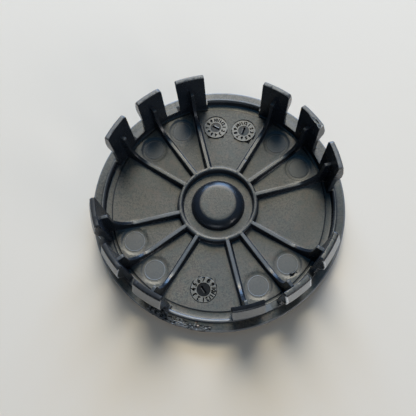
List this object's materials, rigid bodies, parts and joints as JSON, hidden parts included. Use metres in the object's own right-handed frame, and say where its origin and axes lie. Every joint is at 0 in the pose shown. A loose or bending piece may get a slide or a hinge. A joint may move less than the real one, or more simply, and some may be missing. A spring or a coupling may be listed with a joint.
{
  "type": "wheel centre cap",
  "caption": "Round snap-in wheel centre cap in black plastic, with barbed snap fingers in groups, radial ribs, curved gussets and a hub ring around a low dome.",
  "frame": {"origin": "middle of the front face, on the surface that the cap lies on face down", "axes": "+Z along the cap's axis towards the finger tips, +X and +Y through the wide gaps between the finger groups"},
  "size_m": [0.062, 0.062, 0.0172],
  "materials": {
    "black_plastic": "fine satin moulded texture"
  },
  "bodies": {
    "root": {"centre_cap": "black_plastic"}
  },
  "joints": []
}
